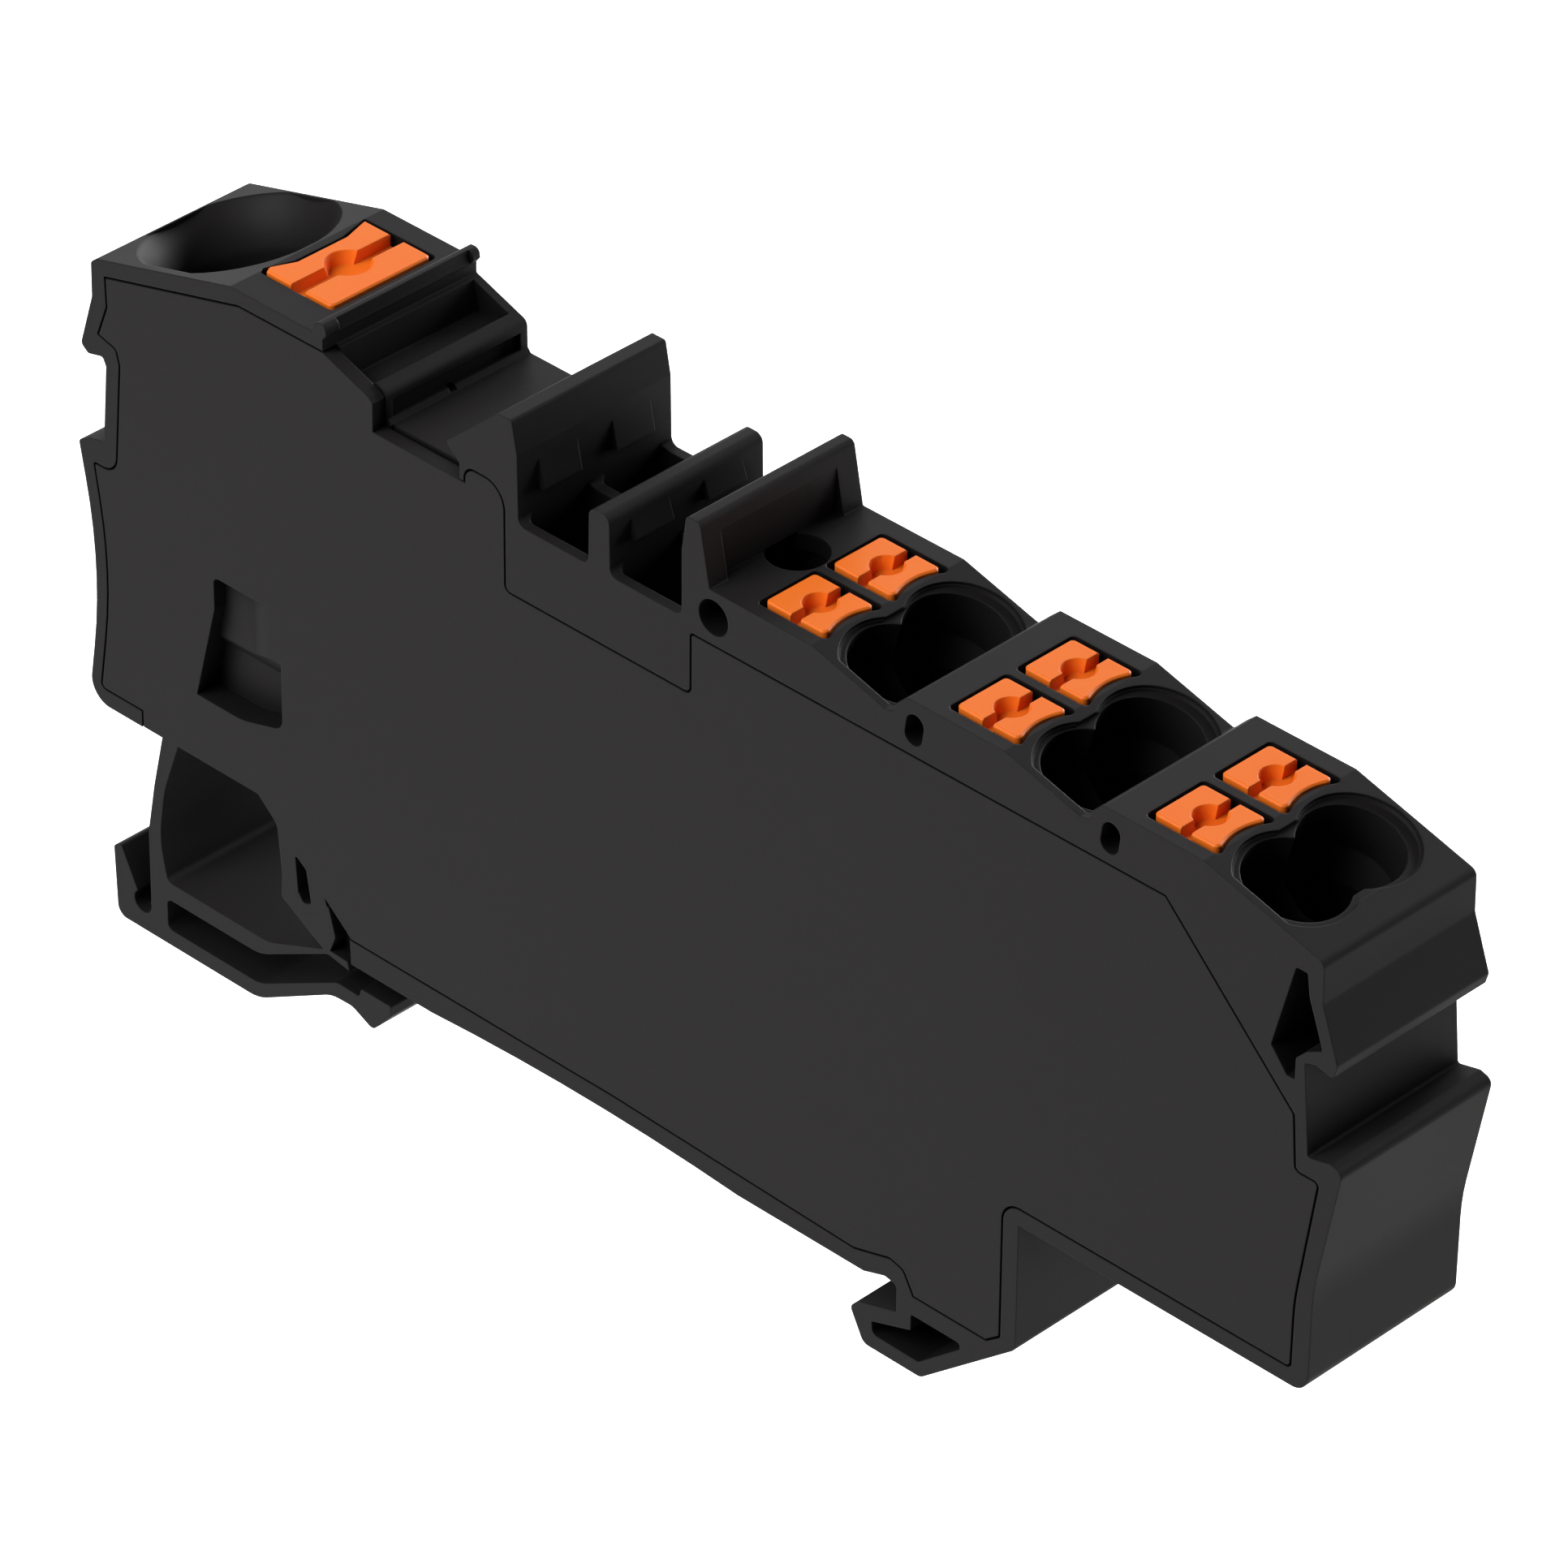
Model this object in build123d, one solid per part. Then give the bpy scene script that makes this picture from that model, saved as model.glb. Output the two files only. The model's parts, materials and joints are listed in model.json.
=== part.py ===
from build123d import *
from math import atan, cos, radians, tan
import os

# Rail terminal block: one large clamp on the left, three double clamps on the right
# Millimetres. X runs along the block, Y through its thickness, Z up
# The origin is the middle of the rail seat, half way through the thickness

# Sizes that drive the block
thickness = 9.6
rail_width = 35.0
rail_sheet = 1.0
deck = 31.85
unit_pitch = 11.45
unit_count = 3
entry_tilt = 15.0
button_travel = 1.2
cover_sheet = 0.8
back_wall = 1.0

# Named gaps
seam = 0.12
slip = 0.05
rail_play = 0.15
spring_gap = 0.3
button_gap = 0.3

# Heights that follow from them
big_deck = deck + 2.15
fin_top = deck + 3.15
marker_floor = deck - 1.35
cover_top = deck - 2.75
cover_dip = deck - 5.95
slot_floor = deck - 2.17
roof = deck - 3.25
clamp_top = deck - 9.55
ledge = deck - 10.85
rim = 1.35
belly = 7.5
waist = (belly + ledge) / 2
bow = ledge - belly
bar_floor = belly + 3.1
bar_sheet = 1.2
bar_top = bar_floor + bar_sheet

# Depths from the front face
cover_seat = cover_sheet + slip
inner_back = thickness - back_wall
front_lip = 0.72
rib = 0.48
lane_depth = (thickness - front_lip - rib - back_wall) / 2
lanes = [front_lip + lane_depth / 2, front_lip + lane_depth * 1.5 + rib]
funnel_rows = [lanes[0] + 0.25, lanes[1] - 0.5]
rim_rows = [lanes[0] + 0.08, lanes[1] - 0.15]
bar_near = 2.35
bar_far = inner_back - 0.2
button_depth = lane_depth - 2 * button_gap

# Places along X
rail_edge = rail_width / 2
left_end = -35.28
first_unit = 6.5
unit_starts = [first_unit + unit_pitch * n for n in range(unit_count)]
units_end = first_unit + unit_pitch * unit_count
big_funnel = -29.2
big_button = -22.15
big_funnel_depth = thickness / 2 + 0.15
slope = tan(radians(entry_tilt))
lean = cos(radians(entry_tilt))

# Clamp sizes
funnel_at = 8.6
flat_run = 5.7
funnel_z = deck - slope * (funnel_at - flat_run)
big_kink = -24.5
big_funnel_z = big_deck - slope * (big_kink - big_funnel)
mouth = 2.45
mouth_depth = 2.6
big_mouth = 4.85
throat = 1.5
big_throat = 3.3
strip = 0.45
big_strip = 0.7
tab_sheet = 1.0
tab_side = 1.4
big_tab_side = 2.6
tab_top = clamp_top - 0.9
shaft_side = mouth + 0.6
shaft_left = 1.1
button_rise = 0.1
slot_depth = 0.65
big_button_near = 2.0
big_button_far = thickness - 1.4
arch_rise = 0.37
small_post = 1.85
big_post = 2.4
peg_radius = 0.75
peg_length = 3.0
window_depth = 1.4
side_names = ["front", "back"]


def closed_face(points):
    corners = [(p[0], p[1]) for p in points]
    radii = [p[2] if len(p) > 2 else 0.0 for p in points]
    return make_face(FilletPolyline(*corners, radius=radii, close=True))


# A side view outline given a thickness, between two depths from the front face
def slab(points, near, far):
    sheet = Plane.XZ.offset(thickness / 2 - far) * closed_face(points)
    return extrude(sheet, amount=far - near)


# A top view outline given a height; its second numbers are depths
def column(points, low, high):
    seen = [(p[0], p[1] - thickness / 2, *p[2:]) for p in points]
    return extrude(Plane.XY.offset(low) * closed_face(seen), amount=high - low)


def block(left, right, near, far, low, high):
    return slab([(left, low), (right, low), (right, high), (left, high)], near, far)


# A round tool that hangs down an entry, its parts listed as top radius, end radius and depth
def entry_tool(x, depth, z, tilt, steps):
    mouth = Plane((x, depth - thickness / 2, z), x_dir=(0, 1, 0), z_dir=(tilt, 0, lean))
    tool = None
    level = 0.0
    for top, end, run in steps:
        if top == end:
            piece = Cylinder(top, run, align=(Align.CENTER, Align.CENTER, Align.MAX))
        else:
            piece = Cone(end, top, run, align=(Align.CENTER, Align.CENTER, Align.MAX))
        piece = mouth * Pos(0, 0, -level) * piece
        tool = piece if tool is None else tool + piece
        level += run
    return tool


# Side distance from a small clamp's wire axis, as a place from the unit's start
def small_line(z, side):
    return funnel_at - slope * (funnel_z - z) + side / lean


# The same for the large clamp, whose wire leans the other way
def big_line(z, side):
    return big_funnel + slope * (big_funnel_z - z) + side / lean


# Outlines of the mouldings

def left_flank():
    e = left_end
    return [
        (-rail_edge - 14.05, 6.62), (e + 0.05, 6.62, 1.2), (e + 1.26, waist + 0.15, 2 * bow), (e, ledge, 0.25),
        (e + 0.7, deck - 10.45), (e + 1.78, deck - 10.2, 0.25), (e + 2.11, deck - 5.95, 0.2),
        (e + 1.9, deck - 5.5, 0.2), (e + 0.9, deck - 5.75, 0.2), (e + 0.42, deck - 5.4, 0.3),
        (e + 1.31, deck - 2.5, 0.6), (e + 1.33, deck - 0.6, 0.3), (e + 1.7, deck - 0.32, 0.1),
    ]


# Bead, groove, bead, marker groove
def beads():
    return [
        (big_kink, big_deck, 0.2), (-19.05, big_deck, 0.1), (-18.85, deck + 2.78, 0.3), (-18.2, deck + 2.78, 0.3),
        (-18.15, deck + 2.3, 0.1), (-18.4, deck + 2.0), (-18.4, deck + 1.42, 0.1), (-15.12, deck + 0.27, 0.4),
        (-15.1, deck - 1.1), (-14.9, marker_floor), (-9.6, marker_floor),
    ]


def fins():
    return [
        (-9.6, deck - 0.55), (-10.35, deck + 0.1, 0.08), (-10.35, deck + 0.32), (-7.1, fin_top, 0.1),
        (-6.25, fin_top, 0.15), (-5.93, deck + 1.45, 0.3), (-5.87, slot_floor, 0.45), (-1.45, slot_floor, 0.45),
        (-1.4, deck + 0.9, 0.45), (-0.15, deck + 0.9, 0.45), (-0.1, slot_floor, 0.45), (4.35, slot_floor, 0.45),
        (4.35, deck + 1.35, 0.4), (4.62, fin_top, 0.2), (5.45, fin_top, 0.3), (first_unit - 0.45, deck, 0.1),
    ]


def unit_tops():
    points = []
    for x in unit_starts:
        points.append((x + flat_run, deck, 0.15))
        if x != unit_starts[-1]:
            low = deck - slope * (funnel_at - 4.15)
            points.append((x + 10.15, low, 0.15))
            points.append((x + 10.65, low + 0.13, 0.1))
            points.append((x + 10.9, low + 0.7, 0.1))
            points.append((x + unit_pitch, deck, 0.15))
    return points


def right_flank():
    e = units_end
    end_z = deck - slope * (e + 1.12 - unit_starts[-1] - flat_run)
    return [
        (e + 1.12, end_z, 0.4), (e + 1.15, deck - 3.9, 0.5), (e + 2.1, deck - 6.65, 0.3),
        (e + 1.9, deck - 7.35, 0.2), (e + 0.95, deck - 7.12, 0.1), (e + 0.3, deck - 7.3, 0.15),
        (e + 0.7, deck - 12.05, 0.15), (e + 1.95, deck - 11.75, 0.3), (e + 2.65, deck - 11.95, 0.4),
        (e + 1.35, waist - 1.25, 0.9 * bow), (e + 1.3, belly, 0.9),
    ]


# The right rail hook and the seat, ending where the springy foot takes over
def right_foot():
    r = rail_edge
    return [
        (r + 7.7, belly), (r + 7.7, 0.6, 0.5), (r + 2.0, -4.05, 0.6), (r - 1.55, -4.05, 0.5),
        (r - 2.4, -2.4, 0.35), (r - 1.95, -1.9, 0.1), (r + 0.45, -rail_sheet - 0.2, 0.05),
        (r + 0.45, 0.3, 0.3), (r - 0.3, 0.42, 0.3), (r - 1.6, 0.0), (0.1 - r, 0.0), (0.05 - r, 1.4),
        (-r - 1.4, 2.6), (-r - 4.5, 4.3), (-r - 4.9, 5.6), (-r - 6.1, 6.62), (-r - 10.9, 6.62),
        (-r - 10.9, 9.6), (-r - 14.05, 9.6),
    ]


def body_outline():
    return left_flank() + beads() + fins() + unit_tops() + right_flank() + right_foot()


# Between the first bead and the first fin the plate's edge is bare, so the seat's outline runs past it
def cover_top_edge(seat):
    e = left_end
    u = units_end
    bare = [(-18.4, deck + 1.42), (-15.5, deck + 0.4), (-15.08, deck + 0.1), (-15.1, marker_floor)]
    if seat:
        bare = [
            (-18.0, deck + 1.42), (-18.0, deck + 2.0), (-15.0, deck + 0.9), (-14.6, marker_floor + 0.6),
            (-9.62, marker_floor + 0.6), (-9.62, marker_floor),
        ]
    start = [(e + 2.2, deck - 1.02), (-23.95, big_deck - 0.75, 0.4)]
    rest = [
        (-9.35, marker_floor), (-9.35, deck - 0.5, 0.7), (-6.7, deck - 0.5, 1.3), (-6.7, cover_dip, 0.3),
        (4.85, cover_dip, 0.3), (4.85, cover_top, 0.25), (u - 7.75, cover_top), (u - 0.1, deck - 10.2, 0.3),
        (u + 0.1, deck - 13.0, 0.25), (u + 1.45, deck - 13.0, 0.3), (u + 0.4, waist - 2.25, bow),
        (u + 0.35, belly + 0.85, 0.35),
    ]
    return start + bare + rest


def cover_bottom_edge():
    r = rail_edge
    e = left_end
    return [
        (r + 6.8, belly + 0.85, 1.0), (r + 6.8, 0.8, 0.2), (r + 5.95, 0.15, 0.2), (r + 1.45, 0.15),
        (r + 0.8, 1.3, 0.5), (r, 1.5, 0.3), (r - 2.2, 0.9, 0.3), (r - 7.5, 1.05), (0, rim), (0.1 - r, rim),
        (-r - 1.4, 2.6), (-r - 0.95, 1.0, 0.5), (-r - 1.4, -0.1, 0.3), (-r - 1.75, -0.1), (-r - 4.5, 1.5, 0.2),
        (-r - 4.9, 5.5, 0.6), (-r - 6.1, 6.55), (-r - 14.05, 6.55), (-r - 14.05, belly), (e + 0.85, belly, 0.35),
        (e + 1.9, waist + 0.15, 1.8 * bow), (e + 0.95, deck - 11.6, 0.2), (e + 2.5, deck - 11.6, 0.9),
        (e + 3.0, deck - 5.5, 0.3),
        (e + 2.8, deck - 4.75, 0.3), (e + 1.56, deck - 4.43, 0.1), (e + 2.25, deck - 2.65, 0.1),
    ]


def cover_outline(seat):
    return cover_top_edge(seat) + cover_bottom_edge()


# Hollows of the housing

# The clamp room, the button shaft above it and the slanted walls on both sides
def unit_cell(x):
    floor = bar_floor
    low_side = small_line(floor, tab_side + tab_sheet + slip)
    high_side = small_line(clamp_top, tab_side + tab_sheet + slip)
    back = small_line(floor, 4.1) - unit_pitch
    back_high = small_line(clamp_top - 0.3, 4.1) - unit_pitch
    shaft_low = small_line(clamp_top, -shaft_side)
    shaft_high = small_line(roof - 1.2, -shaft_side)
    return slab([
        (x + back, floor), (x + low_side, floor), (x + high_side, clamp_top), (x + shaft_low, clamp_top),
        (x + shaft_high, roof - 1.2), (x + shaft_high, roof), (x + shaft_left, roof), (x + shaft_left, clamp_top + 1.7),
        (x + back_high, clamp_top - 0.3),
    ], cover_seat, inner_back)


def big_cell():
    top = clamp_top + 0.5
    left_side = -big_tab_side - bar_sheet - slip
    return slab([
        (big_line(bar_floor, left_side), bar_floor), (-16.2, bar_floor), (-16.2, clamp_top + 0.7),
        (-18.9, roof - 2.1), (-18.9, roof), (big_line(roof, big_throat + 0.7), roof),
        (big_line(top, big_throat + 0.7), top), (big_line(top, left_side), top),
    ], cover_seat, inner_back)


# Weight-saving hollows that the cover closes
def spare_cells():
    e = left_end
    r = rail_edge
    u = units_end
    low = rim + 0.85
    high = bar_floor - 1.3
    base = bar_floor + 0.8
    hollow = slab([
        (e + 2.4, base), (big_line(base, -5.2), base), (big_line(ledge - 0.6, -5.2), ledge - 0.6),
        (e + 2.7, ledge - 0.6),
    ], cover_seat, inner_back)
    hollow += block(-15.0, -10.4, cover_seat, inner_back, bar_floor, marker_floor - 1.0)
    hollow += slab([
        (u - 3.2, base), (u - 0.3, base), (u - 0.5, ledge - 3.0), (u - 1.5, ledge - 3.0),
    ], cover_seat, inner_back)
    hollow += slab([
        (-r - 1.2, low + 1.0), (-r + 0.8, low), (-r + 11.5, low), (-r + 11.5, high), (-r - 4.0, high),
        (-r - 4.0, low + 3.0),
    ], cover_seat, inner_back)
    hollow += block(-r + 12.7, r - 9.1, cover_seat, inner_back, low, high)
    hollow += block(r - 7.9, r + 5.8, cover_seat, inner_back, low, high)
    return hollow


# Pits under the two bridge slots, each with a web at half depth
def bridge_pits():
    web = 0.6
    mid = thickness / 2
    pits = None
    for left, right in [(-5.87, -1.45), (-0.1, 4.35)]:
        for near, far in [(0.55, mid - web / 2), (mid + web / 2, thickness - 0.55)]:
            pit = column([(left, near, 0.3), (right, near, 0.3), (right, far, 0.3), (left, far, 0.3)],
                         cover_dip - 1.0, slot_floor + 0.6)
            pits = pit if pits is None else pits + pit
        pits += block(left, right, cover_seat, inner_back, bar_floor, cover_dip - 0.9)
    return pits


# Small snap noses inside the bridge slots, flat below and running out upwards
def snap_noses():
    noses = []
    for wall, rise in [(-5.9, 1.7), (-0.12, 1.1)]:
        low = deck - 0.8
        for centre in [0.265 * thickness, 0.74 * thickness]:
            noses.append(slab([
                (wall - 0.2, low), (wall + 0.28, low), (wall + 0.28, low + 0.12), (wall - 0.05, low + rise),
                (wall - 0.2, low + rise),
            ], centre - 1.2, centre + 1.2))
    return noses


# One long groove through the cell walls that the current bar lies in
def bar_channel():
    left = big_line(bar_floor, -big_tab_side - bar_sheet - slip)
    right = unit_starts[-1] + small_line(bar_floor, tab_side + tab_sheet + slip)
    return block(left, right, cover_seat, inner_back, bar_floor, bar_top + 0.3)


# A small button's outline from above, waisted on the wire's side, or its well's with a gap all round
def small_button_plan(x, lane, gap):
    left = x + shaft_left + 0.83 - 0.75 * gap
    right = x + shaft_left + 4.55 + gap
    half = button_depth / 2 + gap
    return [
        (left, lane - half, 0.27), (right, lane - half, 0.27), (right - 0.6 - gap / 2, lane, 1.9 * half - 3 * gap),
        (right, lane + half, 0.27), (left, lane + half, 0.27),
    ]


# The same for the large button
def big_button_plan(gap):
    left = big_button - 2.25 - gap
    right = big_button + 2.25 + gap
    near = big_button_near - gap
    far = big_button_far + gap
    middle = (near + far) / 2
    half = 1.55 - gap / 3
    return [
        (left + 0.2, near, 0.1), (right, near, 0.3), (right, far, 0.3), (left + 0.1, far, 0.1),
        (left + 0.55, middle + half), (left + 0.55, middle - half), (left, near + 0.35, 0.1),
    ]


# Shallow rim, twin chamber and throats of a double entry, cut off straight behind a thin front lip
def double_entry(x):
    tool = None
    for row, rim_row in zip(funnel_rows, rim_rows):
        ring = entry_tool(x + funnel_at - 0.02, rim_row, funnel_z, slope * lean, [(mouth + 0.3, mouth + 0.2, 0.25)])
        hole = entry_tool(x + funnel_at - 0.08, row, funnel_z, slope * lean, [
            (mouth, mouth - 0.05, mouth_depth), (mouth - 0.05, throat, 1.2), (throat, throat, 5.4),
        ])
        tool = ring + hole if tool is None else tool + ring + hole
    between = Plane((x + funnel_at, 0, funnel_z), x_dir=(lean, 0, -slope * lean), z_dir=(slope * lean, 0, lean))
    span = rim_rows[1] - rim_rows[0]
    middle = (rim_rows[0] + rim_rows[1] - thickness) / 2
    tool += between * Pos(0, middle, 0) * Box(2 * mouth - 0.1, span, 0.5)
    tool += between * Pos(1.15, middle, -mouth_depth / 2) * Box(1.6, span * 0.8, mouth_depth)
    return tool & block(x, x + unit_pitch + 1, 0.42, thickness, bar_floor + 3, deck + 1.0)


# A soft bell that narrows to the throat, trimmed on all four sides where it meets the thin walls
def big_entry():
    tool = entry_tool(big_funnel - 0.05, big_funnel_depth, big_funnel_z, -slope * lean, [
        (big_mouth, 4.62, 0.15), (4.62, 4.1, 0.6), (4.1, 3.6, 0.9), (3.6, big_throat, 0.9),
        (big_throat, big_throat, 8.2),
    ])
    return tool & block(big_kink - 8.95, big_kink - 0.12, 0.45, thickness - 0.15, 15.0, big_deck + 1.0)


def face_holes():
    holes = Pos(first_unit - 0.2, -thickness / 2, deck - 1.35) * Rot(90, 0, 0) * Cylinder(0.9, 4.0)
    for x in unit_starts[1:]:
        slot = extrude(SlotOverall(1.6, 1.05, rotation=90), amount=1.2, both=True)
        holes += Pos(x + 0.46, -thickness / 2, deck - 1.45) * Rot(0, 8, 0) * Rot(90, 0, 0) * slot
    return holes


# A round hole through the thin roof, with more room below it
def test_hole():
    hole = Pos(first_unit + 0.15, 0.05, deck - 0.45) * Cylinder(1.5, 1.1)
    return hole + block(first_unit - 1.3, first_unit + 1.45, 3.1, 6.6, deck - 5.0, deck - 0.9)


def arrow_hole():
    u = units_end
    return slab([
        (u - 0.4, deck - 2.75, 0.15), (u + 0.25, deck - 2.75, 0.1), (u + 0.4, deck - 3.9, 0.3),
        (u + 1.25, deck - 6.25, 0.15), (u + 0.4, deck - 6.7, 0.2), (u - 0.2, deck - 7.3, 0.3),
        (u - 0.2, deck - 8.45, 0.1), (u - 0.65, deck - 8.45, 0.1), (u - 1.6, deck - 7.3, 0.1),
    ], -1.0, inner_back)


# The groove between the two beads, the hook's pocket and the shallow arch of both seat rims
def grooves():
    r = rail_edge
    valley = slab([
        (-18.42, deck + 2.3), (-17.75, deck - 0.15, 0.1), (-16.2, deck, 0.1), (-15.62, deck + 0.05),
        (-15.0, deck + 0.05), (-15.0, deck + 3.0), (-18.42, deck + 3.0),
    ], cover_seat, thickness - 0.45)
    valley -= Pos(-15.62, 0, deck + 0.05) * Rot(90, 0, 0) * Cylinder(0.5, 2 * thickness)
    under = marker_floor + 0.25
    valley += block(-15.4, -14.9, cover_seat + 0.3, thickness - 0.45, under, deck - 0.2)
    valley += block(-15.4, -14.9, thickness / 2 - 0.2, thickness / 2 + 0.2, marker_floor + 0.05, under + 0.1)
    pocket = slab([
        (r + 1.35, -0.85, 0.15), (r + 4.4, -0.85, 0.2), (r + 4.35, -1.2, 0.1), (r + 1.85, -3.27, 0.2),
        (r - 1.0, -3.25, 0.35), (r - 1.05, -2.55, 0.1), (r + 1.35, -1.75, 0.1),
    ], -1.0, inner_back)
    curve = ThreePointArc((5.5 - r, 0), (-2.0, arch_rise), (r - 9.5, 0)) + Line((r - 9.5, 0), (5.5 - r, 0))
    segment = make_face(curve)
    lines = valley + pocket
    lines += extrude(Plane.XZ.offset(thickness / 2 - cover_seat) * segment, amount=cover_seat + 1)
    lines += extrude(Plane.XZ.offset(-thickness / 2 - 1) * segment, amount=thickness - inner_back + 1)
    lines += block(-14.9, -9.6, cover_sheet, cover_sheet + 0.2, marker_floor - 1.6, marker_floor + 0.1)
    lean_face = [(5.6, deck + 2.35), (5.6, deck), (6.6, deck), (6.6, deck + 2.35)]
    lines += slab(lean_face, 1.15, thickness - 1.25)
    return lines


# Round posts that the spring loops sit round
def spring_posts():
    posts = [(-20.3, bar_top + big_strip + spring_gap + big_post, big_post)]
    for x in unit_starts:
        posts.append((x + 0.6, bar_top + strip + spring_gap + small_post, small_post))
    solids = [Pos(x, (cover_seat + inner_back + 0.2 - thickness) / 2, z) * Rot(90, 0, 0)
              * Cylinder(r, inner_back + 0.2 - cover_seat) for x, z, r in posts]
    return solids


def peg_places():
    return [
        (-25.2, belly + 0.7), (-16.9, roof - 0.4), (-8.1, ledge - 1.0), (6.1, deck - 6.3),
        (units_end - 1.6, ledge - 0.8), (units_end - 2.4, belly + 1.9),
    ]


def pegs(radius, length):
    return [Pos(x, cover_sheet / 2 - thickness / 2, z) * Rot(90, 0, 0)
            * Cylinder(radius, length, align=(Align.CENTER, Align.CENTER, Align.MAX)) for x, z in peg_places()]


def window_outline(grow):
    r = rail_edge
    g = grow
    low = belly + 2.85
    high = belly + 10.05
    return [
        (-r - 8.7 - g, high + g, 0.35), (-r - 4.23 + g, high + g, 0.05), (-r - 4.23 + g, low + 0.8 - g, 0.7),
        (-r - 7.0, low - g, 4.0), (-r - 10.1 - g, low - g, 0.05), (-r - 8.7 - g, high - 1.8, 1.0),
    ]


def housing():
    body = slab(body_outline(), 0, thickness)
    body -= slab(cover_outline(True), -1.0, cover_seat)
    body -= big_cell()
    body -= spare_cells()
    for x in unit_starts:
        body -= unit_cell(x)
    body += spring_posts()
    body -= bar_channel()
    body -= bridge_pits()
    body += snap_noses()
    body -= column(big_button_plan(button_gap - 0.1), roof - 0.1, big_deck + 1.0)
    body -= big_entry()
    for x in unit_starts:
        for lane in lanes:
            body -= column(small_button_plan(x, lane, button_gap), roof - 0.1, deck + 1.0)
        body -= double_entry(x)
    body -= grooves()
    body -= face_holes()
    body -= test_hole()
    body -= arrow_hole()
    body -= pegs(peg_radius + 0.03, peg_length + 0.5)
    body -= slab(window_outline(0.95), cover_sheet, window_depth + cover_sheet + 0.15)
    return body


# A pocket in two zones: the upper one rises to the plate's face on the right, the lower one stays deep
# and its ceiling slants
def window():
    r = rail_edge
    half = thickness / 2
    step = belly + 7.28
    shallow = 0.78
    ramp = [(-r - 11, -half - 1), (-r - 4.5, -half - 1), (-r - 4.9, -half), (-r - 7.1, shallow - half, 2.5),
            (-r - 11, shallow - half)]
    upper = extrude(Plane.XY.offset(belly) * closed_face(ramp), amount=12)
    side = [(-half - 1, belly), (window_depth - half, belly), (window_depth - half, step - 1.32 * window_depth),
            (-half - 1, step + 1.32)]
    lower = extrude(Plane.YZ.offset(-r - 12) * closed_face(side), amount=10)
    return (upper + lower) & slab(window_outline(0), -1.0, window_depth + 0.1)


def foot_outline():
    r = -rail_edge
    arm_out = [
        (r - 12.65, 6.7), (r - 13.35, 3.6, 8), (r - 13.85, 0.8, 2), (r - 13.85, -3.4), (r - 14.8, -3.2),
        (r - 15.9, -1.0, 0.15), (r - 16.4, -1.3, 0.3),
    ]
    under = [
        (r - 16.25, -5.25, 0.6), (r - 6.4, -5.25, 2.5), (r - 1.3, -2.45, 2), (r + 0.1, -2.4, 1),
        (r + 1.5, -3.05, 0.4), (r + 2.7, -1.75, 0.3), (r + 2.75, -rail_sheet - 0.1, 0.1),
        (r + 0.75, -rail_sheet - 0.1, 0.1), (r + 0.6, -1.6, 0.2), (r - 0.9, -1.55, 1),
    ]
    slot = [
        (r - 6.3, -4.35, 2), (r - 12.7, -4.35, 0.35), (r - 12.7, -2.6, 0.35), (r - 6.2, -2.6, 2.5),
        (r - 1.5, -0.2, 0.5), (r - 0.05, -0.45),
    ]
    back_up = [
        (r - rail_play, 0.0), (r - 1.5, 0.05, 0.5), (r - 5.6, -1.6, 2.5), (r - 12.6, -1.6, 0.4),
        (r - 13.1, 0.6, 6), (r - 12.65, 3.6, 6), (r - 11.55, 6.7),
    ]
    return arm_out + under + slot + back_up


# The tab at the end of the plate and the block behind it that meets the rim
def foot_tab():
    r = -rail_edge
    tab = slab([
        (r - 0.95, 1.0, 0.3), (r - 1.35, 2.45), (r - 4.45, 4.1), (r - 4.6, 1.55, 0.2), (r - 1.75, -0.1),
        (r - 1.4, -0.1, 0.3),
    ], 0, thickness)
    stop = slab([(r - 1.6, -0.15), (r - rail_play, -0.2), (r - rail_play, 1.2), (r - 1.4, 2.3)],
                cover_sheet, thickness)
    return tab + stop


# The slanted slot through the plate above that tab
def tab_slot():
    r = -rail_edge
    return slab([
        (r - 3.6, 4.45, 0.1), (r - 2.85, 3.9, 0.2), (r - 2.55, 2.1, 0.2), (r - 3.1, 1.9, 0.2),
        (r - 3.45, 2.4, 0.2),
    ], -1.0, 3.0)


def side_cover():
    r = rail_edge
    sheet = offset(closed_face(cover_outline(False)), amount=-seam, kind=Kind.INTERSECTION)
    plate = extrude(Plane.XZ.offset(thickness / 2 - cover_sheet) * sheet, amount=cover_sheet)
    plate += slab(window_outline(0.8), 0, window_depth + cover_sheet)
    plate -= window()
    plate += slab(foot_outline(), 0, thickness)
    plate += foot_tab()
    plate -= tab_slot()
    plate += block(-r - 14.0, -r - 11.0, 0.4, thickness, 6.5, 9.5)
    plate -= Pos(-r - 14.45, 0, -3.65) * Rot(90, 0, 0) * Cylinder(0.6, thickness + 1)
    plate += pegs(peg_radius, peg_length)
    return plate


# Push buttons

def spring_path():
    loop = 2.6
    start = small_line(bar_top, tab_side) - spring_gap - 0.1
    tip = clamp_top - 6.25
    return [(start, bar_top + strip / 2), (-1.75, bar_top + strip / 2, loop), (-1.75, clamp_top - 2.7, loop),
            (small_line(tip, tab_side) - spring_gap - strip / 2, tip)]


def big_spring_path():
    loop = 3.1
    start = big_line(bar_top, -big_tab_side) + spring_gap
    tip = clamp_top - 6.1
    return [(start, bar_top + big_strip / 2), (-16.95, bar_top + big_strip / 2, loop),
            (-16.95, clamp_top - 1.7, loop), (big_line(tip, -big_tab_side) + spring_gap + big_strip / 2, tip)]


# Height of a spring leg's upper face at one place along X
def leg_height(path, sheet, x):
    high = path[2]
    tip = path[3]
    fall = (tip[1] - high[1]) / (tip[0] - high[0])
    return high[1] + fall * (x - high[0]) + sheet / 2 / cos(atan(fall)) + slip


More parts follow.
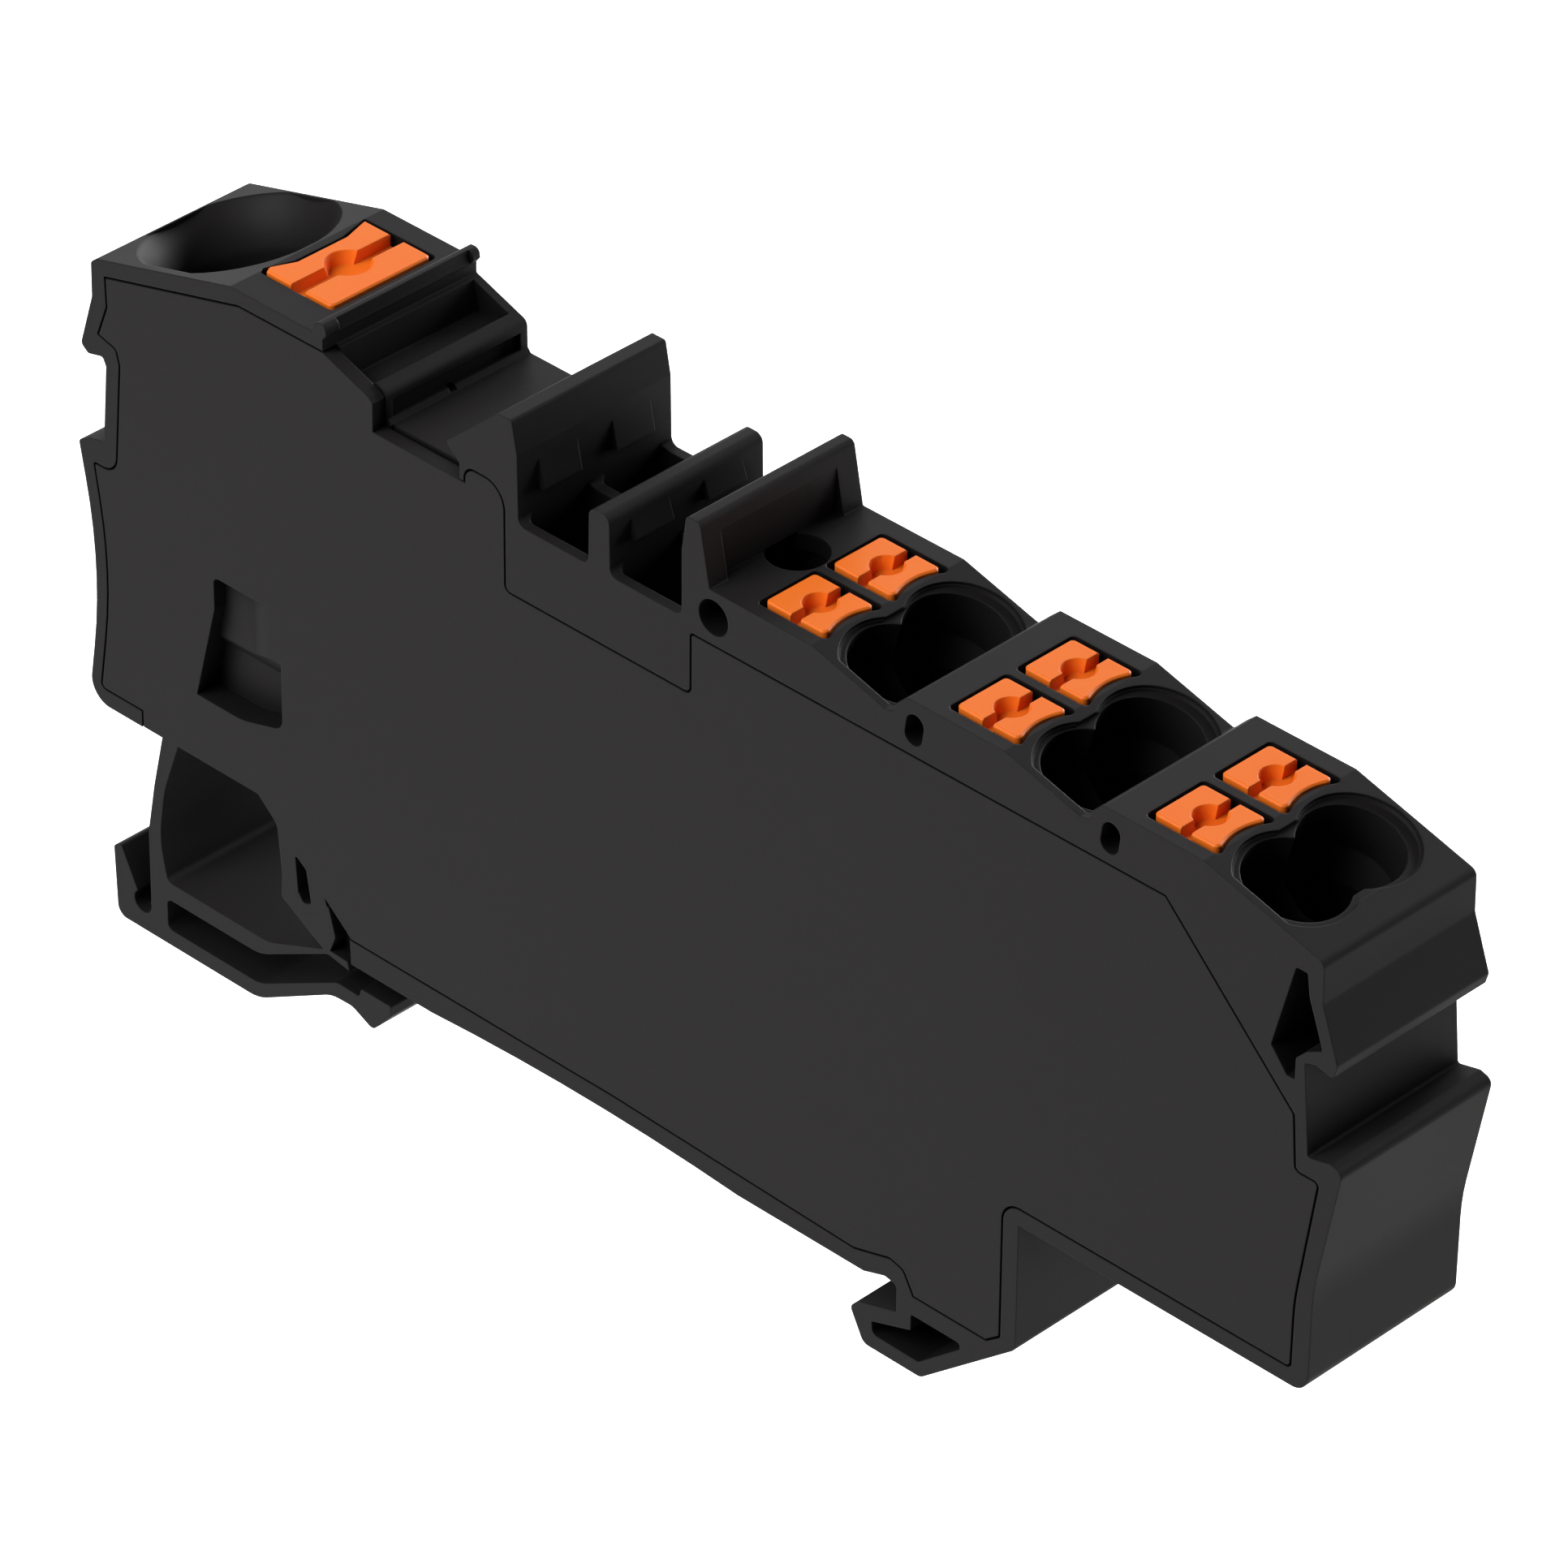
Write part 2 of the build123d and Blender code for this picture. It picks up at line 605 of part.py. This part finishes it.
def small_button(x, lane):
    top = deck + button_rise
    near = lane - button_depth / 2
    far = lane + button_depth / 2
    head = column(small_button_plan(x, lane, 0), roof + 1.45, top)
    head = chamfer(head.faces().sort_by(Axis.Z)[-1].edges(), 0.08)
    flank = -shaft_side - button_travel * slope - 0.2
    stem_left = shaft_left + 0.25
    head_left = shaft_left + 0.83
    low_right = small_line(clamp_top - 3.8, flank)
    top_right = small_line(roof - 1.2, flank)
    path = spring_path()
    stem = slab([
        (x + stem_left, leg_height(path, strip, stem_left)), (x + low_right, leg_height(path, strip, low_right)),
        (x + top_right, roof - 1.2), (x + top_right, roof + 1.5), (x + head_left, roof + 1.5),
        (x + head_left, roof - slip), (x + stem_left, roof - slip),
    ], near + 0.1, far - 0.1)
    button = head + stem
    button -= column([(x + 3.5, near - 1), (x + 4.1, near - 1), (x + 4.1, far + 1), (x + 3.5, far + 1)],
                     top - slot_depth, top + 1)
    button -= dimple(x + 3.75, lane, top, 0.82)
    return button


# A drafted round dimple as deep as the slot it sits on, where the screwdriver's tip centres
def dimple(x, depth, top, radius):
    return Pos(x, depth - thickness / 2, top - slot_depth / 2) * Cone(0.8 * radius, radius, slot_depth)


def big_button_piece():
    top = big_deck + button_rise
    right = big_button + 2.25
    head = column(big_button_plan(0), roof + 1.45, top)
    head = chamfer(head.faces().sort_by(Axis.Z)[-1].edges(), 0.08)
    flank = big_throat + 0.7 + button_travel * slope + 0.2
    path = big_spring_path()
    low_left = big_line(clamp_top - 2.3, flank)
    stem = slab([
        (right + 0.75, leg_height(path, big_strip, right + 0.75)), (low_left, leg_height(path, big_strip, low_left)),
        (big_line(roof, flank), roof), (big_line(roof, flank), roof + 1.5), (right, roof + 1.5),
        (right, roof - slip), (right + 0.75, roof - slip),
    ], big_button_near + 0.2, big_button_far - 0.2)
    button = head + stem
    slot = [(big_button - 0.43, 1), (big_button + 0.52, 1), (big_button + 0.52, 9), (big_button - 0.43, 9)]
    button -= column(slot, top - slot_depth, top + 1)
    button -= dimple(big_button + 0.05, (big_button_near + big_button_far) / 2, top, 1.15)
    return button


# Metal parts

def current_bar():
    end = unit_starts[-1] + small_line(bar_floor, tab_side + tab_sheet)
    start = big_line(bar_floor, -big_tab_side - bar_sheet)
    bar = block(start + 0.4, end - 0.2, bar_near, bar_far, bar_floor, bar_top)
    left_side = -big_tab_side - bar_sheet
    bar += slab([
        (start, bar_floor, 0.4), (big_line(bar_floor, -big_tab_side) + 1.0, bar_floor),
        (big_line(bar_top, -big_tab_side), bar_top), (big_line(clamp_top - 0.3, -big_tab_side), clamp_top - 0.3, 0.4),
        (big_line(clamp_top - 0.3, left_side), clamp_top - 0.3, 0.4),
    ], bar_near, bar_far)
    for x in unit_starts:
        bar += slab([
            (x + small_line(bar_floor, tab_side) - 0.6, bar_floor), (x + end - unit_starts[-1], bar_floor, 0.4),
            (x + small_line(tab_top, tab_side + tab_sheet), tab_top, 0.3),
            (x + small_line(tab_top, tab_side), tab_top, 0.3), (x + small_line(bar_top, tab_side), bar_top),
        ], bar_near, bar_far)
    low = bar_floor + 0.2
    bend = bar_top + 3.6
    pinch = clamp_top - 2.8
    for middle in [-3.66, 2.12]:
        for near, far in [(bar_near, 4.1), (5.5, 8.1)]:
            for way in [-1, 1]:
                bar += slab([
                    (middle + way * 1.5, low), (middle + way * 1.5, bend, 0.5), (middle + way * 0.8, pinch, 0.8),
                    (middle + way * 1.4, clamp_top - 0.3), (middle + way * 0.8, clamp_top - 0.1),
                    (middle + way * 0.2, pinch, 0.8), (middle + way * 0.9, bend - 0.1, 0.5),
                    (middle + way * 0.9, low),
                ], near, far)
    return bar


def bent_strip(points, sheet, near, far):
    corners = [(p[0], p[1]) for p in points]
    radii = [p[2] for p in points[1:-1]]
    middle = (near + far) / 2 - thickness / 2
    path = Plane.XZ.offset(-middle) * FilletPolyline(*corners, radius=radii)
    section = Plane(path @ 0, x_dir=(0, 1, 0), z_dir=path % 0) * Rectangle(far - near, sheet)
    return sweep(section, path=path)


def small_spring(x, lane):
    points = [(x + p[0], *p[1:]) for p in spring_path()]
    return bent_strip(points, strip, lane - 1.45, lane + 1.45)


def big_spring():
    return bent_strip(big_spring_path(), big_strip, 2.4, 8.0)


def pieces():
    made = {"housing": housing(), "side_cover": side_cover(), "large_button": big_button_piece(),
            "current_bar": current_bar(), "large_spring": big_spring()}
    for n, x in enumerate(unit_starts, 1):
        for side, lane in zip(side_names, lanes):
            made[f"small_button_{n}_{side}"] = small_button(x, lane)
            made[f"small_spring_{n}_{side}"] = small_spring(x, lane)
    return made


os.makedirs("parts", exist_ok=True)
for name, piece in pieces().items():
    export_step(piece, f"parts/{name}.step")
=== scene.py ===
import bmesh
import bpy
import json
import math
from mathutils import Matrix, Vector


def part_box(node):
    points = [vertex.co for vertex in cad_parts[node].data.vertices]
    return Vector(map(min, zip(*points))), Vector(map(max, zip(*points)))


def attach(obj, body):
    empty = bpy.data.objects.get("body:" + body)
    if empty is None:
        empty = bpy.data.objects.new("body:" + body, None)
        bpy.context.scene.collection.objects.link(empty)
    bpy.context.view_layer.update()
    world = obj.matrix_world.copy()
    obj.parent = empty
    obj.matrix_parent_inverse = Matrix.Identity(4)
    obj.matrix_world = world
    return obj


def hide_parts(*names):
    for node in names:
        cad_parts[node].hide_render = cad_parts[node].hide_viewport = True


# Terminal block with one large and six small clamps: dark mouldings, orange push buttons, bright metal inside

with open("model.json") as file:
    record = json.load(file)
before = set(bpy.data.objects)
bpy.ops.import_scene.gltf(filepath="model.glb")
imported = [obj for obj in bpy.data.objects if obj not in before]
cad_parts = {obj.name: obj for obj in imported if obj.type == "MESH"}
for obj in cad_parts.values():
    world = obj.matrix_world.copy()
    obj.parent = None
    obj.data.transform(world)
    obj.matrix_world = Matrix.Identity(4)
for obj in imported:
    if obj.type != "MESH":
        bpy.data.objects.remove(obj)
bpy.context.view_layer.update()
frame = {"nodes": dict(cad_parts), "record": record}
millimetre = 0.001
weldDistance = 0.0005 * millimetre


def toLinear(value):
    return value / 12.92 if value <= 0.04045 else ((value + 0.055) / 1.055) ** 2.4


# sRGB hex as an artist reads it off a swatch, turned into the linear colour a socket wants
def hexColour(code):
    code = code.lstrip("#")
    channels = [int(code[i:i + 2], 16) / 255 for i in (0, 2, 4)]
    return (*[toLinear(c) for c in channels], 1.0)


white = hexColour("#ffffff")


# Adds a node, sets its fields and inputs, and links what is passed as a socket
def addNode(tree, kind, fields=None, inputs=None):
    node = tree.nodes.new(kind)
    for name, value in (fields or {}).items():
        setattr(node, name, value)
    for key, value in (inputs or {}).items():
        socket = node.inputs[key]
        if isinstance(value, bpy.types.NodeSocket):
            tree.links.new(value, socket)
        else:
            socket.default_value = value
    return node


def newMaterial(name):
    material = bpy.data.materials.new(name)
    material.use_nodes = True
    tree = material.node_tree
    tree.nodes.clear()
    return material, tree


# Mouldings

darkPlastic = {
    "base": "#211f20",
    "worn": "#262425",
    # lighter colour for the painted edge highlight
    "edgeHighlight": "#2c2a2b",
    "roughness": 0.5,
    "specular": 0.12,
    "grainSize": 0.11 * millimetre,
    "grainHeight": 0.006 * millimetre,
    "flowSize": 9.0 * millimetre,
    "edgeRadius": 0.09 * millimetre,
    "edgeHighlightStrength": 0.35,
    "hollowReach": 8.0 * millimetre,  # how far off a wall the painted shade reaches
    # colour left in the deepest hollows by the painted shade
    "hollowShade": 0.15,
}

orangePlastic = {
    "base": "#ff781a",
    "worn": "#ff8228",
    # lighter colour for the painted edge highlight
    "edgeHighlight": "#ff8a34",
    "roughness": 0.46,
    "specular": 0.26,
    "grainSize": 0.09 * millimetre,
    "grainHeight": 0.003 * millimetre,
    "flowSize": 3.0 * millimetre,
    "edgeRadius": 0.07 * millimetre,
    "edgeHighlightStrength": 0.25,
    # painted shade in the button's hollows reaches this far, and leaves this much colour
    "hollowReach": 1.0 * millimetre,
    "hollowShade": 0.75,
}


# Injection-moulded plastic off a spark-eroded tool: an even, very fine grain and faint flow clouds,
# and edges painted a little lighter as a painted highlight
# Deep hollows are painted darker: an ambient occlusion mask scales the colour down there as painted shade,
# and turns the roughness up
def mouldedPlastic(name, look):
    deepHollow, openFace = 0.3, 0.82  # share of open sky that the plastic sees
    material, tree = newMaterial(name)
    place = addNode(tree, "ShaderNodeTexCoord").outputs["Object"]
    grain = addNode(tree, "ShaderNodeTexNoise", None, {
        "Vector": place, "Scale": 1.0 / look["grainSize"], "Detail": 2.0, "Roughness": 0.6})
    flow = addNode(tree, "ShaderNodeTexNoise", None, {
        "Vector": place, "Scale": 1.0 / look["flowSize"], "Detail": 3.0, "Roughness": 0.55})
    softEdge = addNode(tree, "ShaderNodeBevel", {"samples": 6}, {"Radius": look["edgeRadius"]})
    face = addNode(tree, "ShaderNodeNewGeometry")
    edge = addNode(tree, "ShaderNodeVectorMath", {"operation": "DOT_PRODUCT"}, {
        0: softEdge.outputs["Normal"], 1: face.outputs["Normal"]})
    # Painted highlight: convex edges, where the rounded normal turns off the face normal, get the lighter
    # colour
    paintedEdgeHighlight = addNode(tree, "ShaderNodeMapRange", None, {
        "Value": edge.outputs["Value"], "From Min": 0.995, "From Max": 0.8,
        "To Min": 0.0, "To Max": look["edgeHighlightStrength"]})
    clouds = addNode(tree, "ShaderNodeMapRange", None, {
        "Value": flow.outputs["Fac"], "From Min": 0.35, "From Max": 0.7, "To Min": 0.0, "To Max": 0.5})
    body = addNode(tree, "ShaderNodeMix", {"data_type": "RGBA"}, {
        "Factor": clouds.outputs["Result"], "A": hexColour(look["base"]), "B": hexColour(look["worn"])})
    colour = addNode(tree, "ShaderNodeMix", {"data_type": "RGBA"}, {
        "Factor": paintedEdgeHighlight.outputs["Result"], "A": body.outputs["Result"], "B": hexColour(look["edgeHighlight"])})
    # Painted shade: the occlusion mask darkens the colour near walls and in hollows, and roughens it there
    hollow = addNode(tree, "ShaderNodeAmbientOcclusion", {"samples": 6}, {"Distance": look["hollowReach"]})
    paintedShade = addNode(tree, "ShaderNodeMapRange", None, {
        "Value": hollow.outputs["AO"], "From Min": deepHollow, "From Max": openFace,
        "To Min": look["hollowShade"], "To Max": 1.0})
    shaded = addNode(tree, "ShaderNodeVectorMath", {"operation": "SCALE"}, {
        0: colour.outputs["Result"], "Scale": paintedShade.outputs["Result"]})
    rough = addNode(tree, "ShaderNodeMapRange", None, {
        "Value": flow.outputs["Fac"], "From Min": 0.3, "From Max": 0.7,
        "To Min": look["roughness"] - 0.03, "To Max": look["roughness"] + 0.04})
    dull = addNode(tree, "ShaderNodeMapRange", None, {
        "Value": paintedShade.outputs["Result"], "To Min": 0.95, "To Max": rough.outputs["Result"]})
    bump = addNode(tree, "ShaderNodeBump", None, {
        "Strength": 0.6, "Distance": look["grainHeight"], "Height": grain.outputs["Fac"],
        "Normal": softEdge.outputs["Normal"]})
    shader = addNode(tree, "ShaderNodeBsdfPrincipled", None, {
        "Base Color": shaded.outputs["Vector"], "Roughness": dull.outputs["Result"],
        "Specular IOR Level": look["specular"], "Normal": bump.outputs["Normal"]})
    addNode(tree, "ShaderNodeOutputMaterial", None, {"Surface": shader.outputs["BSDF"]})
    return material


# Metals inside the clamps

tinnedCopper = {
    "bright": "#cfc8bd",
    "dull": "#b3aa9d",
    "roughness": 0.34,
    "lineSize": 0.06 * millimetre,
    "lineHeight": 0.002 * millimetre,
    "lineStretch": 0.03,
    "mottleScale": 900.0,
}

springSteel = {
    **tinnedCopper,
    "bright": "#b9b9b8",
    "dull": "#8f8f90",
    "roughness": 0.28,
    "lineSize": 0.05 * millimetre,
    "lineHeight": 0.0015 * millimetre,
}


# Strip that was rolled along X, then stamped and bent: fine rolling lines, softly mottled shine
def rolledStrip(name, look):
    material, tree = newMaterial(name)
    place = addNode(tree, "ShaderNodeTexCoord").outputs["Object"]
    stretch = addNode(tree, "ShaderNodeMapping", None, {
        "Vector": place, "Scale": (look["lineStretch"], 1.0, 1.0)})
    lines = addNode(tree, "ShaderNodeTexNoise", None, {
        "Vector": stretch.outputs["Vector"], "Scale": 1.0 / look["lineSize"], "Detail": 2.0})
    mottle = addNode(tree, "ShaderNodeTexNoise", None, {
        "Vector": place, "Scale": look["mottleScale"], "Detail": 3.0})
    colour = addNode(tree, "ShaderNodeMix", {"data_type": "RGBA"}, {
        "Factor": mottle.outputs["Fac"], "A": hexColour(look["dull"]), "B": hexColour(look["bright"])})
    bump = addNode(tree, "ShaderNodeBump", None, {
        "Strength": 0.5, "Distance": look["lineHeight"], "Height": lines.outputs["Fac"]})
    shader = addNode(tree, "ShaderNodeBsdfPrincipled", None, {
        "Base Color": colour.outputs["Result"], "Metallic": 1.0, "Roughness": look["roughness"],
        "Normal": bump.outputs["Normal"]})
    addNode(tree, "ShaderNodeOutputMaterial", None, {"Surface": shader.outputs["BSDF"]})
    return material


housingMaterial = mouldedPlastic("glassFilledPolyamideHousing", darkPlastic)
coverMaterial = mouldedPlastic("glassFilledPolyamideCover", {
    **darkPlastic, "base": "#222021", "flowSize": 14.0 * millimetre})
buttonMaterial = mouldedPlastic("orangePolyamideButton", orangePlastic)
barMaterial = rolledStrip("tinPlatedCopperStrip", tinnedCopper)
springMaterial = rolledStrip("stainlessSpringStrip", springSteel)
print("materials made")


# Faces that lie in one plane count as one, so a large flat decides the shading along its rim
def planeAreas(work, flatAngle=0.3):
    sameWay = math.cos(math.radians(flatAngle))
    areas = {}
    for start in work.faces:
        if start in areas:
            continue
        areas[start] = 0.0
        group = [start]
        for face in group:
            for edge in face.edges:
                for other in edge.link_faces:
                    if other not in areas and other.normal.dot(start.normal) > sameWay:
                        areas[other] = 0.0
                        group.append(other)
        total = sum(face.calc_area() for face in group)
        for face in group:
            areas[face] = total
    return areas


# One normal for all corners round a vertex that no sharp edge parts
def cornerNormals(work, areas):
    found = {}
    for vert in work.verts:
        waiting = set(vert.link_faces)
        while waiting:
            fan = [waiting.pop()]
            for face in fan:
                for edge in face.edges:
                    if vert not in edge.verts or not edge.smooth:
                        continue
                    for other in edge.link_faces:
                        if other in waiting:
                            waiting.remove(other)
                            fan.append(other)
            total = Vector()
            for face in fan:
                corner = next(loop for loop in face.loops if loop.vert == vert)
                total += face.normal * areas[face] * corner.calc_angle()
            for face in fan:
                found[vert, face] = total.normalized() if total.length > 0.0 else face.normal.copy()
    return [found[loop.vert, face] for face in work.faces for loop in face.loops]


# The CAD's own triangles stay as they are: a merged copy carries the smooth rounds and the finish
def mergedCopy(nodeName):
    mesh = frame["nodes"][nodeName].data.copy()
    mesh.name = nodeName + "Skin"
    work = bmesh.new()
    work.from_mesh(mesh)
    bmesh.ops.remove_doubles(work, verts=work.verts, dist=weldDistance)
    bmesh.ops.dissolve_degenerate(work, edges=work.edges, dist=weldDistance)
    work.to_mesh(mesh)
    work.free()
    return mesh


def smoothRounds(mesh, sharpAngle=32.0):
    work = bmesh.new()
    work.from_mesh(mesh)
    work.normal_update()
    for edge in work.edges:
        edge.smooth = len(edge.link_faces) == 2 and edge.calc_face_angle(0.0) < math.radians(sharpAngle)
    for face in work.faces:
        face.smooth = True
    normals = cornerNormals(work, planeAreas(work))
    work.to_mesh(mesh)
    work.free()
    mesh.normals_split_custom_set(normals)


def dress(nodeName, bodyName, material, mesh=None):
    mesh = mesh or mergedCopy(nodeName)
    smoothRounds(mesh)
    skin = bpy.data.objects.new(nodeName + "Skin", mesh)
    bpy.context.scene.collection.objects.link(skin)
    mesh.materials.clear()
    mesh.materials.append(material)
    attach(skin, bodyName)
    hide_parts(nodeName)


# The rims of the small wire mouths: two joined rounds on each double clamp, tilted with the wires
# The solid leaves a film of 0.02 mm over their outer halves, and this takes it away
wireMouth = {
    "shift": {"front": -0.17 * millimetre, "back": 0.35 * millimetre},  # from wire to rim, across
    "along": 0.06 * millimetre,  # from wire to rim, lengthways
    "radius": 2.77 * millimetre,
    "riser": 2.14 * millimetre,  # from the rim's middle to the next clamp's riser
    "lip": 0.42 * millimetre,  # wall that stays at the front
    "above": 0.4 * millimetre,
    "below": 0.12 * millimetre,
    "steps": 96,
}


# One row of round punches, each cut off straight at the front lip and at the next clamp's riser
def mouthPunches(side, look):
    entries = [mount for mount in frame["record"]["mounts"]
               if mount["name"].startswith("wire_entry") and mount["name"].endswith(side)]
    entries.sort(key=lambda entry: entry["pos_m"][0])
    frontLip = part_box("housing")[0][1] + look["lip"]
    work = bmesh.new()
    for entry in entries:
        up = Vector(entry["axis"]).normalized()
        along = Vector((0.0, 1.0, 0.0)).cross(up)
        middle = Vector(entry["pos_m"]) + along * look["along"]
        reach = look["radius"] if entry is entries[-1] else look["riser"]
        outline = []
        for step in range(look["steps"]):
            turn = 2.0 * math.pi * step / look["steps"]
            place = middle + along * min(look["radius"] * math.cos(turn), reach)
            place.y = max(middle.y + look["shift"][side] + look["radius"] * math.sin(turn), frontLip)
            outline.append(place)
        low = [work.verts.new(place - up * look["below"]) for place in outline]
        high = [work.verts.new(place + up * look["above"]) for place in outline]
        work.faces.new(high)
        work.faces.new(list(reversed(low)))
        for step in range(look["steps"]):
            after = (step + 1) % look["steps"]
            work.faces.new((low[step], low[after], high[after], high[step]))
    bmesh.ops.remove_doubles(work, verts=work.verts, dist=weldDistance)
    bmesh.ops.recalc_face_normals(work, faces=work.faces)
    mesh = bpy.data.meshes.new("mouthPunch")
    work.to_mesh(mesh)
    work.free()
    return mesh


def openMouths(mesh, look):
    body = bpy.data.objects.new("mouthBody", mesh)
    bpy.context.scene.collection.objects.link(body)
    for side in look["shift"]:
        punch = bpy.data.objects.new("mouthPunch", mouthPunches(side, look))
        bpy.context.scene.collection.objects.link(punch)
        cut = body.modifiers.new("openMouth", "BOOLEAN")
        cut.operation = "DIFFERENCE"
        cut.solver = "EXACT"
        cut.object = punch
        bpy.context.view_layer.update()
        graph = bpy.context.evaluated_depsgraph_get()
        result = bpy.data.meshes.new_from_object(body.evaluated_get(graph))
        body.modifiers.remove(cut)
        body.data = result
        bpy.data.objects.remove(punch)
    bpy.data.objects.remove(body)
    result.name = "housingSkin"
    return result


housingSkin = openMouths(mergedCopy("housing"), wireMouth)
dress("housing", "block", housingMaterial, housingSkin)
dress("side_cover", "block", coverMaterial)
for nodeName in sorted(frame["nodes"]):
    if "button" in nodeName:
        dress(nodeName, nodeName, buttonMaterial)
    elif "spring" in nodeName:
        dress(nodeName, "block", springMaterial)
dress("current_bar", "block", barMaterial)
print("pieces placed")


# Camera: a long lens from the right, front and above, as the photo was taken
view = {
    "place": (252.571, -253.860, 262.062),
    "turn": 44.1643,
    "height": 34.4531,
    "roll": 0.5209,
    "lens": 221.53,
    "sensor": 36.0,
    "nearest": 0.01,
}

cameraData = bpy.data.cameras.new("productCamera")
cameraData.sensor_width = view["sensor"]
cameraData.lens = view["lens"]
cameraData.clip_start = view["nearest"]
camera = bpy.data.objects.new("productCamera", cameraData)
aim = Matrix.Rotation(math.radians(view["turn"]), 4, "Z")
aim = aim @ Matrix.Rotation(math.radians(90.0 - view["height"]), 4, "X")
aim = aim @ Matrix.Rotation(math.radians(view["roll"]), 4, "Z")
camera.matrix_world = Matrix.Translation(Vector(view["place"]) * millimetre) @ aim
bpy.context.scene.collection.objects.link(camera)
bpy.context.scene.camera = camera

# White table well below the block, so the shadow falls outside the picture
# Its glow is for the camera alone, and its paint sends pale light back up
table = {"width": 2.4, "height": -0.12, "colour": "#f2f2f0", "glow": 0.86}

half = table["width"] / 2
corners = ((-half, -half), (half, -half), (half, half), (-half, half))
floorMesh = bpy.data.meshes.new("whiteTable")
floorMesh.from_pydata([(x, y, table["height"]) for x, y in corners], [], [(0, 1, 2, 3)])
floor = bpy.data.objects.new("whiteTable", floorMesh)
bpy.context.scene.collection.objects.link(floor)
floorMaterial, floorTree = newMaterial("matteWhiteTable")
floorRay = addNode(floorTree, "ShaderNodeLightPath")
floorLevel = addNode(floorTree, "ShaderNodeMath", {"operation": "MULTIPLY"}, {
    0: floorRay.outputs["Is Camera Ray"], 1: table["glow"]})
floorGlow = addNode(floorTree, "ShaderNodeEmission", None, {
    "Color": white, "Strength": floorLevel.outputs["Value"]})
floorPaint = addNode(floorTree, "ShaderNodeBsdfDiffuse", None, {"Color": hexColour(table["colour"])})
floorSum = addNode(floorTree, "ShaderNodeAddShader", None, {
    0: floorGlow.outputs["Emission"], 1: floorPaint.outputs["BSDF"]})
addNode(floorTree, "ShaderNodeOutputMaterial", None, {"Surface": floorSum.outputs["Shader"]})
floorMesh.materials.append(floorMaterial)

# Light: soft lamps above and in front, and a low one behind that gives the tops their satin sheen
# Nothing shines from the upper right, so faces turned that way stay dark
lamps = [
    {"name": "topFrontLamp", "place": (-0.1, -0.4, 0.4), "size": 0.35, "power": 3.05, "tint": "#ffffff"},
    {"name": "frontLamp", "place": (-0.28, -0.55, 0.12), "size": 0.4, "power": 0.7, "tint": "#ffffff"},
    {"name": "backLeftLamp", "place": (-0.4, 0.5, 0.16), "size": 0.5, "power": 1.6, "tint": "#ffffff"},
    {"name": "lowBackLamp", "place": (0.0, 0.6, 0.08), "size": 0.4, "power": 6.6, "tint": "#ffffff"},
    {"name": "rightFill", "place": (0.5, 0.15, -0.05), "size": 0.3, "power": 0.34, "tint": "#ffffff"},
]
lampAim = Vector((0.004, 0.0, 0.015))
for lamp in lamps:
    lampData = bpy.data.lights.new(lamp["name"], "AREA")
    lampData.energy = lamp["power"]
    lampData.size = lamp["size"]
    lampData.color = hexColour(lamp["tint"])[:3]
    lampObject = bpy.data.objects.new(lamp["name"], lampData)
    lampObject.visible_camera = False
    spot = Vector(lamp["place"])
    towards = lampAim - spot
    lampObject.matrix_world = Matrix.Translation(spot) @ towards.to_track_quat("-Z", "Y").to_matrix().to_4x4()
    bpy.context.scene.collection.objects.link(lampObject)

# The tent hardly lights the block, and shows as white paper where the camera sees it
backdrop = {"tent": 0.02, "paper": 1.0}

world = bpy.data.worlds.new("lightTent")
world.use_nodes = True
worldTree = world.node_tree
worldTree.nodes.clear()
seen = addNode(worldTree, "ShaderNodeLightPath")
tent = addNode(worldTree, "ShaderNodeBackground", None, {"Color": white, "Strength": backdrop["tent"]})
paper = addNode(worldTree, "ShaderNodeBackground", None, {"Color": white, "Strength": backdrop["paper"]})
both = addNode(worldTree, "ShaderNodeMixShader", None, {
    0: seen.outputs["Is Camera Ray"], 1: tent.outputs["Background"], 2: paper.outputs["Background"]})
addNode(worldTree, "ShaderNodeOutputWorld", None, {"Surface": both.outputs["Shader"]})
bpy.context.scene.world = world
bpy.context.scene.view_settings.view_transform = "Standard"
print("camera and light set")
